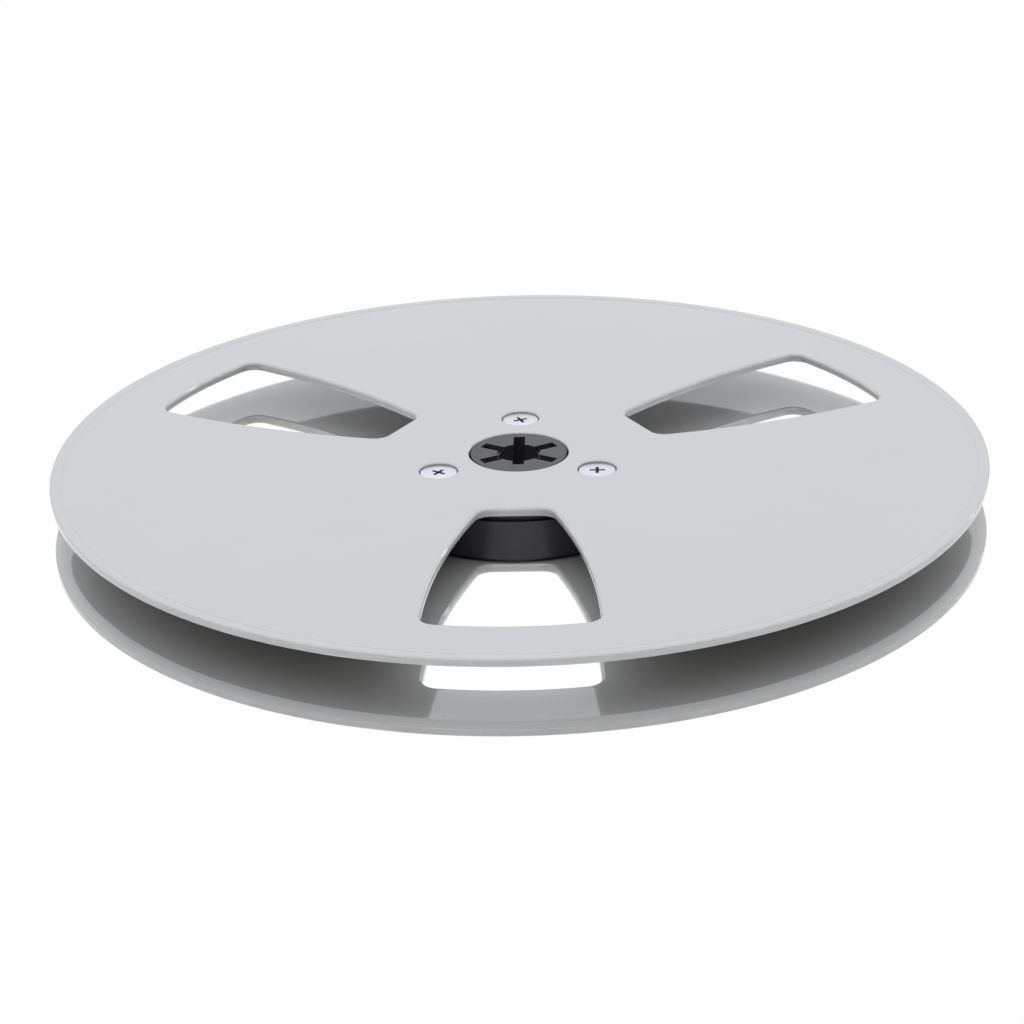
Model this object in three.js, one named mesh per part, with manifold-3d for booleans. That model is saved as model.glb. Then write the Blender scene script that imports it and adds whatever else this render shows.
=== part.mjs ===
// An empty seven-inch tape reel, lying flat. Two dished flanges with three
// windows each are screwed to a moulded hub, which carries the winding drum,
// the slotted spindle bore and a brass insert for every screw.
// Millimetres, +Z up, origin at the centre of the lower rim's resting plane.

import * as THREE from 'three';
import { mergeVertices } from 'three/addons/utils/BufferGeometryUtils.js';
import Module from 'manifold-3d';

// ---------------------------------------------------------------- sizes

// Overall.
const REEL_RADIUS = 89;
const REEL_HEIGHT = 14.2;

// Flanges: a plate that is flat at the hub, then rises to a beaded rim.
const PLATE_THICKNESS = 1.8;
const RIM_THICKNESS = 1.45;
const FLARE_WIDTH = 2.1; // the inner edge opens outwards and leads the tape in
const DISH_DEPTH = 0.6;
const FLAT_MARGIN = 1.5; // flat plate kept outside the drum
const BEAD_WIDTH = 2.1;
const BEAD_HEIGHT = 0.15;
const RIM_ROUNDING = 0.35;

// Windows: a straight inner end, bowed sides and an outer end round the axis.
const WINDOW_COUNT = 3;
const WINDOW_FIRST_ANGLE = -90;
const WINDOW_GAP_TO_DRUM = 0.1;
const WINDOW_RIM_WIDTH = 13.1; // plate left between window and rim
const WINDOW_INNER_HALF = 6.6;
const WINDOW_OUTER_HALF = 15.2;
const WINDOW_SIDE_RADIUS = 145;
const WINDOW_INNER_CORNER = 3;
const WINDOW_OUTER_CORNER = 3;

// Hub.
const DRUM_RADIUS = 27;
const DRUM_WALL = 2.4;
const WEB_THICKNESS = 2.4;
const BOSS_RADIUS = 9.2;
const BOSS_CLEARANCE = 0.35; // round the boss, in the flange's centre hole
const BOSS_SET_BACK = 0.25; // boss face below the flange face
const RIB_THICKNESS = 1.8;
const RIB_SET_BACK = 1.2;
const ANCHOR_SLIT_WIDTH = 1.2;
const ANCHOR_SLIT_DEPTH = 5.5;
const ANCHOR_SLIT_ANGLE = 90;

// Spindle bore and its key slots.
const BORE_RADIUS = 3.95;
const BORE_MOUTH_RADIUS = 4.15;
const SLOT_COUNT = 3;
const SLOT_WIDTH = 2.2;
const SLOT_REACH = 8; // from the axis
const REST_SLOT_DEPTH = 0.75;

// Screws and inserts.
const SCREW_CIRCLE = 17.3;
const HEAD_RADIUS = 3.5;
const HEAD_THICKNESS = 0.8;
const HEAD_SET_BACK = 0.4; // head face below the flange face
const HEAD_CLEARANCE = 0.15;
const SHANK_RADIUS = 1.5;
const TIP_GAP = 0.5; // from the reel's mid-height to each screw tip
const SHANK_CLEARANCE = 0.3;
const TIP_CHAMFER = 0.4;
const CROSS_LENGTH = 3.4;
const CROSS_WIDTH = 0.7;
const CROSS_DEPTH = 0.55;
const CROSS_TURNS = [25, -35, 0]; // each driver cross stops where it was tightened
const THREAD_CLEARANCE = 0.1;
const INSERT_WALL = 1;
const INSERT_GAP = 0.8; // from the reel's mid-height to each insert
const INSERT_SET_BACK = 0.3;
const PILLAR_WALL = 1.7;

// Faceting.
const RING_SEGMENTS = 60;
const ROUND_SEGMENTS = 24;
const SMALL_SEGMENTS = 12;
const CORNER_STEPS = 3;
const RIM_STEPS = 2;
const SIDE_STEPS = 5;
const END_STEPS = 2;

// ---------------------------------------------------------------- derived

const MID = REEL_HEIGHT / 2;
const HUB_FACE = REEL_HEIGHT - DISH_DEPTH; // upper flange face at the hub
const HUB_SEAT = HUB_FACE - PLATE_THICKNESS; // where the upper flange sits on the drum
const FLAT_RADIUS = DRUM_RADIUS + FLAT_MARGIN;
const BEAD_INNER = REEL_RADIUS - BEAD_WIDTH;
const WINDOW_INNER = DRUM_RADIUS + WINDOW_GAP_TO_DRUM;
const WINDOW_OUTER = REEL_RADIUS - WINDOW_RIM_WIDTH;
const BOSS_FACE = HUB_FACE - BOSS_SET_BACK;
const HEAD_FACE = HUB_FACE - HEAD_SET_BACK;
const HEAD_SEAT = HEAD_FACE - HEAD_THICKNESS;
const INSERT_RADIUS = SHANK_RADIUS + THREAD_CLEARANCE + INSERT_WALL;
const INSERT_TOP = HUB_SEAT - INSERT_SET_BACK;
const INSERT_BOTTOM = MID + INSERT_GAP;
const POCKET_RADIUS = INSERT_RADIUS + THREAD_CLEARANCE;
const POCKET_FLOOR = INSERT_BOTTOM - THREAD_CLEARANCE;
const SCREW_TIP = MID + TIP_GAP;
const PILLAR_RADIUS = POCKET_RADIUS + PILLAR_WALL;
const THIRD = (2 * Math.PI) / WINDOW_COUNT;

// ---------------------------------------------------------------- helpers

const wasm = await Module();
wasm.setup();

// A closed mesh as a manifold solid.
function solidOf(geometry) {
  const bare = geometry.clone();
  bare.deleteAttribute('normal');
  bare.deleteAttribute('uv');
  const merged = mergeVertices(bare, 1e-4);
  return new wasm.Manifold(new wasm.Mesh({
    numProp: 3,
    vertProperties: new Float32Array(merged.attributes.position.array),
    triVerts: new Uint32Array(merged.index.array),
  }));
}

// A manifold solid as a geometry with flat-shaded faces.
function geometryOf(solid) {
  const mesh = solid.getMesh();
  const geometry = new THREE.BufferGeometry();
  geometry.setAttribute('position', new THREE.BufferAttribute(new Float32Array(mesh.vertProperties), 3));
  geometry.setIndex(new THREE.BufferAttribute(new Uint32Array(mesh.triVerts), 1));
  geometry.computeVertexNormals();
  return geometry;
}

// A closed (radius, height) profile turned round the Z axis.
function turned(profile, segments) {
  const points = profile.map(([radius, height]) => new THREE.Vector2(radius, height));
  const geometry = new THREE.LatheGeometry(points, segments);
  geometry.rotateX(Math.PI / 2);
  return geometry;
}

// A solid disc or post round the Z axis.
function post(radius, bottom, top, segments) {
  return turned([[0, bottom], [radius, bottom], [radius, top], [0, top]], segments);
}

// A flat outline of [x, y] points pulled up from one height to another.
function pulled(outline, bottom, top) {
  const shape = new THREE.Shape(outline.map(([x, y]) => new THREE.Vector2(x, y)));
  const geometry = new THREE.ExtrudeGeometry(shape, { depth: top - bottom, bevelEnabled: false });
  geometry.translate(0, 0, bottom);
  return geometry;
}

// A box between two distances along a ray from the axis, turned to an angle.
function radialBox(from, to, width, bottom, top, angle) {
  const geometry = new THREE.BoxGeometry(to - from, width, top - bottom);
  geometry.translate((from + to) / 2, 0, (bottom + top) / 2);
  geometry.rotateZ(angle);
  return geometry;
}

// Points along a circular arc, both ends included.
function arc(centre, radius, from, to, steps) {
  const points = [];
  for (let i = 0; i <= steps; i += 1) {
    const angle = from + ((to - from) * i) / steps;
    points.push([centre[0] + radius * Math.cos(angle), centre[1] + radius * Math.sin(angle)]);
  }
  return points;
}

const angleFrom = (a, b) => Math.atan2(b[1] - a[1], b[0] - a[0]);
const atAngle = (geometry, angle) => geometry.clone().rotateZ(angle);

// The middle of each screw, opposite the middle of each window.
const screwAngles = [0, 1, 2].map((i) => THREE.MathUtils.degToRad(WINDOW_FIRST_ANGLE) + Math.PI + i * THIRD);

// ---------------------------------------------------------------- windows

// One window's outline along +X. A tangent arc rounds each corner, and every
// arc is found from the side's centre, so the outline stays smooth at any size.
function windowOutline() {
  const start = [WINDOW_INNER, WINDOW_INNER_HALF];
  const chord = [WINDOW_OUTER - WINDOW_INNER, WINDOW_OUTER_HALF - WINDOW_INNER_HALF];
  const length = Math.hypot(...chord);
  const drop = Math.sqrt(WINDOW_SIDE_RADIUS ** 2 - (length / 2) ** 2);
  const side = [
    start[0] + chord[0] / 2 + (chord[1] / length) * drop,
    start[1] + chord[1] / 2 - (chord[0] / length) * drop,
  ];

  const innerX = WINDOW_INNER + WINDOW_INNER_CORNER;
  const innerReach = WINDOW_SIDE_RADIUS - WINDOW_INNER_CORNER;
  const inner = [innerX, side[1] + Math.sqrt(innerReach ** 2 - (innerX - side[0]) ** 2)];

  const a = WINDOW_OUTER - WINDOW_OUTER_CORNER;
  const b = WINDOW_SIDE_RADIUS - WINDOW_OUTER_CORNER;
  const apart = Math.hypot(...side);
  const turn = Math.acos((a ** 2 + apart ** 2 - b ** 2) / (2 * a * apart));
  const outerAngle = Math.atan2(side[1], side[0]) + turn;
  const outer = [a * Math.cos(outerAngle), a * Math.sin(outerAngle)];

  const half = [
    ...arc(inner, WINDOW_INNER_CORNER, Math.PI, angleFrom(side, inner), CORNER_STEPS),
    ...arc(side, WINDOW_SIDE_RADIUS, angleFrom(side, inner), angleFrom(side, outer), SIDE_STEPS).slice(1),
    ...arc(outer, WINDOW_OUTER_CORNER, angleFrom(side, outer), outerAngle, CORNER_STEPS).slice(1),
    ...arc([0, 0], WINDOW_OUTER, outerAngle, 0, END_STEPS).slice(1),
  ];
  const mirrored = half.slice(0, -1).reverse().map(([x, y]) => [x, -y]);
  return [...half, ...mirrored];
}

// ---------------------------------------------------------------- flange

// The upper flange in place. The lower one is the same piece turned over.
function flangeGeometry() {
  const hole = BOSS_RADIUS + BOSS_CLEARANCE;
  const beadFoot = REEL_HEIGHT - BEAD_HEIGHT;
  const edge = REEL_RADIUS - RIM_ROUNDING;
  const top = REEL_HEIGHT - RIM_ROUNDING;
  const bottom = REEL_HEIGHT - RIM_THICKNESS + RIM_ROUNDING;
  const plate = solidOf(turned([
    [hole, HUB_SEAT],
    [FLAT_RADIUS, HUB_SEAT],
    [REEL_RADIUS - FLARE_WIDTH, beadFoot - PLATE_THICKNESS],
    ...arc([edge, bottom], RIM_ROUNDING, -Math.PI / 2, 0, RIM_STEPS),
    ...arc([edge, top], RIM_ROUNDING, 0, Math.PI / 2, RIM_STEPS),
    [BEAD_INNER + BEAD_HEIGHT, REEL_HEIGHT],
    [BEAD_INNER, beadFoot],
    [FLAT_RADIUS, HUB_FACE],
    [hole, HUB_FACE],
    [hole, HUB_SEAT],
  ], RING_SEGMENTS));

  const over = REEL_HEIGHT + 1;
  const opening = pulled(windowOutline(), MID, over);
  const recess = post(HEAD_RADIUS + HEAD_CLEARANCE, HEAD_SEAT, over, ROUND_SEGMENTS);
  const passage = post(SHANK_RADIUS + SHANK_CLEARANCE, MID, over, SMALL_SEGMENTS);
  recess.translate(SCREW_CIRCLE, 0, 0);
  passage.translate(SCREW_CIRCLE, 0, 0);

  let flange = plate;
  for (const angle of screwAngles) {
    flange = flange.subtract(solidOf(atAngle(opening, angle + Math.PI)));
    flange = flange.subtract(solidOf(atAngle(recess, angle)));
    flange = flange.subtract(solidOf(atAngle(passage, angle)));
  }
  return geometryOf(flange);
}

// ---------------------------------------------------------------- hub

function hubGeometry() {
  const floor = REEL_HEIGHT - HUB_SEAT;
  const bossFloor = REEL_HEIGHT - BOSS_FACE;
  const inside = DRUM_RADIUS - DRUM_WALL;

  let hub = solidOf(post(DRUM_RADIUS, floor, HUB_SEAT, RING_SEGMENTS));
  hub = hub.subtract(solidOf(post(inside, MID + WEB_THICKNESS / 2, HUB_SEAT + 1, RING_SEGMENTS)));
  hub = hub.subtract(solidOf(post(inside, floor - 1, MID - WEB_THICKNESS / 2, RING_SEGMENTS)));
  hub = hub.add(solidOf(post(BOSS_RADIUS, bossFloor, BOSS_FACE, ROUND_SEGMENTS)));

  // Ribs from the boss to the drum, three through the pillars and three between.
  for (let i = 0; i < 2 * WINDOW_COUNT; i += 1) {
    const angle = screwAngles[0] + (i * THIRD) / 2;
    const rib = radialBox(
      BOSS_RADIUS - 1, inside + 1, RIB_THICKNESS, floor + RIB_SET_BACK, HUB_SEAT - RIB_SET_BACK, angle,
    );
    hub = hub.add(solidOf(rib));
  }

  // Pillars, bored right through, with a pocket for an insert at each end.
  const pillar = post(PILLAR_RADIUS, floor, HUB_SEAT, ROUND_SEGMENTS);
  const drill = post(SHANK_RADIUS + SHANK_CLEARANCE, floor - 1, HUB_SEAT + 1, SMALL_SEGMENTS);
  const upperPocket = post(POCKET_RADIUS, POCKET_FLOOR, HUB_SEAT + 1, SMALL_SEGMENTS);
  const lowerPocket = post(POCKET_RADIUS, floor - 1, REEL_HEIGHT - POCKET_FLOOR, SMALL_SEGMENTS);
  for (const geometry of [pillar, drill, upperPocket, lowerPocket]) geometry.translate(SCREW_CIRCLE, 0, 0);
  for (const angle of screwAngles) {
    hub = hub.add(solidOf(atAngle(pillar, angle)));
    for (const cut of [drill, upperPocket, lowerPocket]) hub = hub.subtract(solidOf(atAngle(cut, angle)));
  }

  // Spindle bore: wider at each mouth, key slots right through opposite the
  // windows, and shallow slots between them where turned keys come to rest.
  const low = bossFloor - 1;
  const high = BOSS_FACE + 1;
  hub = hub.subtract(solidOf(post(BORE_RADIUS, low, high, ROUND_SEGMENTS)));
  for (const [bottom, top] of [[BOSS_FACE - REST_SLOT_DEPTH, high], [low, bossFloor + REST_SLOT_DEPTH]]) {
    hub = hub.subtract(solidOf(post(BORE_MOUTH_RADIUS, bottom, top, ROUND_SEGMENTS)));
    for (let i = 0; i < SLOT_COUNT; i += 1) {
      const angle = screwAngles[i] + Math.PI;
      hub = hub.subtract(solidOf(radialBox(0, SLOT_REACH, SLOT_WIDTH, bottom, top, angle)));
    }
  }
  for (let i = 0; i < SLOT_COUNT; i += 1) {
    hub = hub.subtract(solidOf(radialBox(0, SLOT_REACH, SLOT_WIDTH, low, high, screwAngles[i])));
  }

  // Slit in the drum that takes the end of the tape, beside a rib.
  const slit = radialBox(
    DRUM_RADIUS - ANCHOR_SLIT_DEPTH, DRUM_RADIUS + 1, ANCHOR_SLIT_WIDTH, floor - 1, HUB_SEAT + 1,
    THREE.MathUtils.degToRad(ANCHOR_SLIT_ANGLE) + THIRD / 4,
  );
  return geometryOf(hub.subtract(solidOf(slit)));
}

// ---------------------------------------------------------------- fasteners

// A flat-headed screw for the upper side, on the Z axis, with a driver cross.
function screwGeometry(crossTurn) {
  let screw = solidOf(turned([
    [0, SCREW_TIP],
    [SHANK_RADIUS - TIP_CHAMFER, SCREW_TIP],
    [SHANK_RADIUS, SCREW_TIP + TIP_CHAMFER],
    [SHANK_RADIUS, HEAD_SEAT],
    [HEAD_RADIUS, HEAD_SEAT],
    [HEAD_RADIUS, HEAD_FACE],
    [0, HEAD_FACE],
  ], SMALL_SEGMENTS));
  for (const quarter of [0, Math.PI / 2]) {
    const bar = new THREE.BoxGeometry(CROSS_LENGTH, CROSS_WIDTH, 2 * CROSS_DEPTH);
    bar.rotateZ(crossTurn + quarter);
    bar.translate(0, 0, HEAD_FACE);
    screw = screw.subtract(solidOf(bar));
  }
  return geometryOf(screw);
}

// A brass sleeve for the upper side, on the Z axis.
function insertGeometry() {
  const bore = SHANK_RADIUS + THREAD_CLEARANCE;
  return turned([
    [bore, INSERT_BOTTOM],
    [INSERT_RADIUS, INSERT_BOTTOM],
    [INSERT_RADIUS, INSERT_TOP],
    [bore, INSERT_TOP],
    [bore, INSERT_BOTTOM],
  ], SMALL_SEGMENTS);
}

// ---------------------------------------------------------------- assembly

const flangePlastic = new THREE.MeshStandardMaterial({ color: 0xd0d1d6, roughness: 0.25, metalness: 0 });
const hubPlastic = new THREE.MeshStandardMaterial({ color: 0x2d2b30, roughness: 0.45, metalness: 0 });
const zincSteel = new THREE.MeshStandardMaterial({ color: 0xe1e1ee, roughness: 0.3, metalness: 0.9 });
const brass = new THREE.MeshStandardMaterial({ color: 0xb89a55, roughness: 0.35, metalness: 1 });

const reel = new THREE.Group();

function addPiece(parent, name, geometry, material) {
  const mesh = new THREE.Mesh(geometry, material);
  mesh.name = name;
  parent.add(mesh);
  return mesh;
}

// One side of the reel: a flange, and its screws and inserts.
function addSide(side, group) {
  addPiece(group, `${side}_flange`, flangeGeometry(), flangePlastic);
  screwAngles.forEach((angle, i) => {
    const crossTurn = THREE.MathUtils.degToRad(CROSS_TURNS[i]);
    const screw = addPiece(group, `${side}_screw_${i + 1}`, screwGeometry(crossTurn), zincSteel);
    const insert = addPiece(group, `${side}_insert_${i + 1}`, insertGeometry(), brass);
    for (const mesh of [screw, insert]) {
      mesh.position.set(SCREW_CIRCLE * Math.cos(angle), SCREW_CIRCLE * Math.sin(angle), 0);
    }
  });
  reel.add(group);
}

addPiece(reel, 'hub', hubGeometry(), hubPlastic);
addSide('upper', new THREE.Group());

// The lower side is the upper side turned over about the Y axis.
const underside = new THREE.Group();
underside.rotation.y = Math.PI;
underside.position.z = REEL_HEIGHT;
addSide('lower', underside);

export default reel;
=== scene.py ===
# %% [markdown]
# # An empty seven-inch tape reel
# Two pale grey flanges with three windows each are screwed to a dark hub. The reel lies
# flat, so the camera looks across a glossy disc, into its windows and between its rims.
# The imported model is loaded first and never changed. Every visible piece is then built
# again as a finer mesh in the same place, and each fine piece replaces its plain node.

# %% Load the fixed frame
import math

import bmesh
import bpy
from mathutils import Matrix, Vector
from mathutils.geometry import delaunay_2d_cdt


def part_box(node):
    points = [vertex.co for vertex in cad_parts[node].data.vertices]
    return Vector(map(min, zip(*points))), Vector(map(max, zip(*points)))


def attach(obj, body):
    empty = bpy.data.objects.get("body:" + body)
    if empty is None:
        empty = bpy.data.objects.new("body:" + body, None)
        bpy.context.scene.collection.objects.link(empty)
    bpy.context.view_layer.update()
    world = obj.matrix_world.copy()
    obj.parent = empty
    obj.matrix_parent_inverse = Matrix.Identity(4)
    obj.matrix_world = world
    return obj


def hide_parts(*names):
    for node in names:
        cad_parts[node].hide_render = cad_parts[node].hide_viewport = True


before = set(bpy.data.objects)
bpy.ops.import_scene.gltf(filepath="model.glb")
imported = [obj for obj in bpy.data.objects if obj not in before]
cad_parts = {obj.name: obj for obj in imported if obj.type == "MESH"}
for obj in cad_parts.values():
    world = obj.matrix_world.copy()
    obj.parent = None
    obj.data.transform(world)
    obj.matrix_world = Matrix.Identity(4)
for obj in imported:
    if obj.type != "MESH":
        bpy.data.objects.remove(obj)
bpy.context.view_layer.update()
MM = 0.001
print("frame nodes:", len(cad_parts))

# %% Read the main sizes from the frame
FLANGE_TOP_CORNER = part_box("upper_flange")[1]
HUB_TOP_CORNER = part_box("hub")[1]
REEL_RADIUS = FLANGE_TOP_CORNER[0]
REEL_HEIGHT = FLANGE_TOP_CORNER[2]
MID_HEIGHT = REEL_HEIGHT / 2
DRUM_RADIUS = HUB_TOP_CORNER[0]
BOSS_FACE = HUB_TOP_CORNER[2]
print(f"reel {2 * REEL_RADIUS / MM:.1f} mm across and {REEL_HEIGHT / MM:.1f} mm high")

# %% [markdown]
# ## Sizes that the boxes don't tell
# These follow the part's own drawing. They are given in millimetres and turned into
# metres once, so that a reader can compare them with a real reel and a ruler.

# %% Sizes of the flanges and of what is cut in them
PLATE = 1.8 * MM
RIM_PLATE = 1.45 * MM
FLARE_WIDTH = 2.1 * MM
DISH = 0.6 * MM
FLAT_RADIUS = DRUM_RADIUS + 1.5 * MM
BEAD_WIDTH = 2.1 * MM
BEAD_HEIGHT = 0.15 * MM
BEAD_SOFTNESS = 0.35 * MM
RIM_ROUND = 0.35 * MM
WINDOW_INNER = DRUM_RADIUS + 0.1 * MM
WINDOW_OUTER = REEL_RADIUS - 13.1 * MM
WINDOW_INNER_HALF = 6.6 * MM
WINDOW_OUTER_HALF = 15.2 * MM
WINDOW_SIDE_RADIUS = 145 * MM
INNER_CORNER = 3 * MM
OUTER_CORNER = 3 * MM
WINDOW_LIP = 0.7 * MM
RECESS_LIP = 0.38 * MM
BOSS_HOLE_LIP = 0.35 * MM
HUB_FACE = REEL_HEIGHT - DISH
HUB_SEAT = HUB_FACE - PLATE
BEAD_FOOT = REEL_RADIUS - BEAD_WIDTH

# %% Sizes of the hub, the screws and the inserts
BOSS_RADIUS = 9.2 * MM
BOSS_HOLE = BOSS_RADIUS + 0.35 * MM
BORE_RADIUS = 3.95 * MM
BORE_MOUTH = 4.15 * MM
SLOT_WIDTH = 2.2 * MM
SLOT_REACH = 8 * MM
REST_DEPTH = 0.75 * MM
SCREW_CIRCLE = 17.3 * MM
HEAD_RADIUS = 3.5 * MM
RECESS_RADIUS = HEAD_RADIUS + 0.15 * MM
HEAD_FACE = HUB_FACE - 0.4 * MM
HEAD_SEAT = HEAD_FACE - 0.8 * MM
SHANK_RADIUS = 1.5 * MM
PASSAGE_RADIUS = SHANK_RADIUS + 0.3 * MM
SCREW_TIP = MID_HEIGHT + 0.5 * MM
SCREW_ANGLES = [math.radians(angle) for angle in (90, 210, 330)]
WINDOW_ANGLES = [angle + math.pi for angle in SCREW_ANGLES]
print(f"plate {PLATE / MM:.1f} mm, winding gap at the hub {(2 * HUB_SEAT - REEL_HEIGHT) / MM:.1f} mm")

# %% [markdown]
# ## Outlines made of arcs
# A window in the flange has a straight inner end, bowed sides and an outer end that runs
# round the axis. It could be traced as a list of points, but arcs stay smooth at any
# number of steps. Every arc can also grow outwards by the same amount, and that is what
# the rounded lip round each window needs.


# %% Points along an arc
def arc(centre, radius, start, end, steps):
    """Points from one angle to another, both ends included."""
    points = []
    for i in range(steps + 1):
        angle = start + (end - start) * i / steps
        points.append((centre[0] + radius * math.cos(angle), centre[1] + radius * math.sin(angle)))
    return points


def circle(radius, steps, centre=(0.0, 0.0)):
    """A closed loop of points, with the last point left open."""
    return arc(centre, radius, 0, 2 * math.pi, steps)[:-1]


def heading(start, end):
    """The angle of the line from one point to another."""
    return math.atan2(end[1] - start[1], end[0] - start[0])


# %% The window outline
def window_outline(grow=0.0):
    """One window along +X, larger by grow all round. Equal steps make the loops match."""
    run = WINDOW_OUTER - WINDOW_INNER
    rise = WINDOW_OUTER_HALF - WINDOW_INNER_HALF
    chord = math.hypot(run, rise)
    drop = math.sqrt(WINDOW_SIDE_RADIUS**2 - (chord / 2) ** 2)
    side = (
        WINDOW_INNER + run / 2 + rise / chord * drop,
        WINDOW_INNER_HALF + rise / 2 - run / chord * drop,
    )
    inner_x = WINDOW_INNER + INNER_CORNER
    reach = WINDOW_SIDE_RADIUS - INNER_CORNER
    inner = (inner_x, side[1] + math.sqrt(reach**2 - (inner_x - side[0]) ** 2))

    a = WINDOW_OUTER - OUTER_CORNER
    b = WINDOW_SIDE_RADIUS - OUTER_CORNER
    apart = math.hypot(*side)
    turn = math.acos((a**2 + apart**2 - b**2) / (2 * a * apart))
    outer_angle = math.atan2(side[1], side[0]) + turn
    outer = (a * math.cos(outer_angle), a * math.sin(outer_angle))

    from_side = heading(side, inner), heading(side, outer)
    half = arc(inner, INNER_CORNER + grow, math.pi, from_side[0], 10)
    half += arc(side, WINDOW_SIDE_RADIUS + grow, *from_side, 40)[1:]
    half += arc(outer, OUTER_CORNER + grow, from_side[1], outer_angle, 10)[1:]
    half += arc((0, 0), WINDOW_OUTER + grow, outer_angle, 0, 12)[1:]
    end = [(half[0][0], half[0][1] * (1 - 2 * i / 6)) for i in range(1, 6)]
    return half + [(x, -y) for x, y in half[-2::-1]] + end[::-1]


def turned_to(points, angle):
    """Turns flat points round the axis."""
    c, s = math.cos(angle), math.sin(angle)
    return [(x * c - y * s, x * s + y * c) for x, y in points]


print("window outline:", len(window_outline()), "points")

# %% [markdown]
# ## The flange
# A real flange is one moulded plate. It is flat where it sits on the hub, rises very
# slightly towards the rim and ends in a low rounded bead. On the inner side the edge is
# flared, which leads the tape in between the flanges. The windows and the screw recesses
# have soft lips. Boolean cuts with a bevel would give the shape, but the bevel often
# tears on long curved edges. Here each lip is a stack of matching loops instead, and a
# constrained triangulation fills the flat face between them.


# %% The heights of the flange's two faces
def face_height(radius):
    """The upper face: flat at the hub, then a shallow cone up to the bead's foot."""
    share = (radius - FLAT_RADIUS) / (BEAD_FOOT - FLAT_RADIUS)
    return HUB_FACE + (DISH - BEAD_HEIGHT) * min(max(share, 0.0), 1.0)


def under_height(radius):
    """The lower face, one plate below the upper one up to the flare."""
    return face_height(radius) - PLATE


# %% Lips and walls as (grow, depth) pairs
SUPPORT = 0.25 * MM
TINY = 1e-9
LIP_STEPS = 6


def quarter(rounding, steps=LIP_STEPS):
    """A rounded lip, from the flat face down to the wall."""
    angles = [math.pi / 2 * i / steps for i in range(steps + 1)]
    return [(rounding * (1 - math.sin(a)), rounding * (1 - math.cos(a))) for a in angles]


def through_wall(rounding):
    """A lip, a plain wall and the same lip on the other face. Minus means up from below."""
    lip = quarter(rounding)
    under = [(grow, -depth - TINY) for grow, depth in reversed(lip)]
    flat = rounding + SUPPORT
    return [(flat, 0.0), *lip, *under, (flat, -TINY)]


def recess_wall(rounding):
    """A screw recess: lip, wall, seat for the head and the passage for the shank."""
    seat = HUB_FACE - HEAD_SEAT
    step = PASSAGE_RADIUS - RECESS_RADIUS
    down = [(0.0, seat - 0.02 * MM), (-0.1 * MM, seat), (step + 0.1 * MM, seat), (step, seat + 0.1 * MM)]
    out = [(step, -0.1 * MM), (step + 0.1 * MM, -TINY), (step + SUPPORT, -TINY)]
    return [(rounding + SUPPORT, 0.0), *quarter(rounding), *down, *out]


# %% Rings of vertices and the faces between them
def add_loop(bm, points, depth):
    """A loop of vertices below the upper face, or above the lower one if depth is minus."""
    face = face_height if depth >= 0 else under_height
    return [bm.verts.new((x, y, face(math.hypot(x, y)) - depth)) for x, y in points]


def bridge(bm, first, second, finish=0):
    """Quads between two loops with the same number of vertices, all with one finish."""
    count = len(first)
    for i in range(count):
        j = (i + 1) % count
        bm.faces.new((first[i], first[j], second[j], second[i])).material_index = finish


def add_wall(bm, outline, section):
    """Sweeps a section round an outline, and gives back its first and last loops."""
    loops = [add_loop(bm, outline(grow), depth) for grow, depth in section]
    for first, second in zip(loops, loops[1:]):
        bridge(bm, first, second)
    return loops[0], loops[-1]


# %% The flat face between the loops
def free_points(rim_radius, step=4.2 * MM):
    """Points in rings, so that the face's triangles stay well shaped."""
    points = []
    radius = BOSS_HOLE + step
    while radius < rim_radius - step / 2:
        points += circle(radius, max(24, round(2 * math.pi * radius / step)))
        radius += step
    return points


def inside(point, loop):
    """Whether a point lies inside a closed loop."""
    x, y = point
    hit = False
    for (x0, y0), (x1, y1) in zip(loop, loop[1:] + loop[:1]):
        if (y0 > y) != (y1 > y) and x < (x1 - x0) * (y - y0) / (y1 - y0) + x0:
            hit = not hit
    return hit


def fill_face(bm, rim, holes, depth):
    """Fills the plate between the rim loop and the holes with triangles."""
    loops = [rim, *holes]
    flat = [[v.co.xy.copy() for v in loop] for loop in loops]
    places, edges = [], []
    for loop in flat:
        first = len(places)
        places += loop
        edges += [(first + i, first + (i + 1) % len(loop)) for i in range(len(loop))]
    known = [v for loop in loops for v in loop]
    borders = [p for loop in flat for p in loop]
    for x, y in free_points(flat[0][0].length):
        near = min((x - p.x) ** 2 + (y - p.y) ** 2 for p in borders)
        if near > (1.2 * MM) ** 2 and not any(inside((x, y), loop) for loop in flat[1:]):
            places.append(Vector((x, y)))
            known += add_loop(bm, [(x, y)], depth)
    found, _, triangles, origins, _, _ = delaunay_2d_cdt(places, edges, [], 0, 1e-9)
    for triangle in triangles:
        middle = sum((found[i] for i in triangle), Vector((0, 0))) / 3
        if middle.length < rim[0].co.xy.length and not any(inside(middle, loop) for loop in flat[1:]):
            bm.faces.new([known[origins[i][0]] for i in triangle])


# %% Build the flange
RIM_STEPS = 360
FLARE_STEPS = 8
RECESS_STEPS = 72
BOSS_HOLE_STEPS = 120
FLARE_MEETS_RIM = math.radians(68)


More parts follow.
